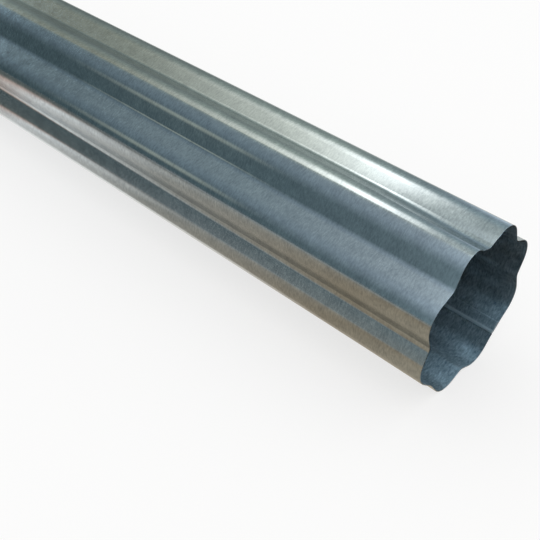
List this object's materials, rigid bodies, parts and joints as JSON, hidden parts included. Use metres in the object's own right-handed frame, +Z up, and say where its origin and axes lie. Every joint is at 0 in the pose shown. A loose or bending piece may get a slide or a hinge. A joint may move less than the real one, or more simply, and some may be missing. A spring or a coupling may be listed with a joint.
{
  "type": "fluted downpipe",
  "caption": "Straight fluted rainwater downpipe of galvanised sheet steel, open at both plain cut ends, with an inside lock seam along one flute.",
  "frame": {"origin": "on the floor under the middle of the pipe, which lies on its two lowest crests", "axes": "+X along the pipe towards the end seen open in the picture, +Z up, the lock seam at the lower +Y side"},
  "size_m": [1, 0.0946, 0.0945],
  "materials": {
    "galvanised_steel": "bright zinc-coated sheet, half glossy, with fine hair streaks across the flutes"
  },
  "bodies": {
    "root": {"downpipe": "galvanised_steel"}
  },
  "joints": []
}
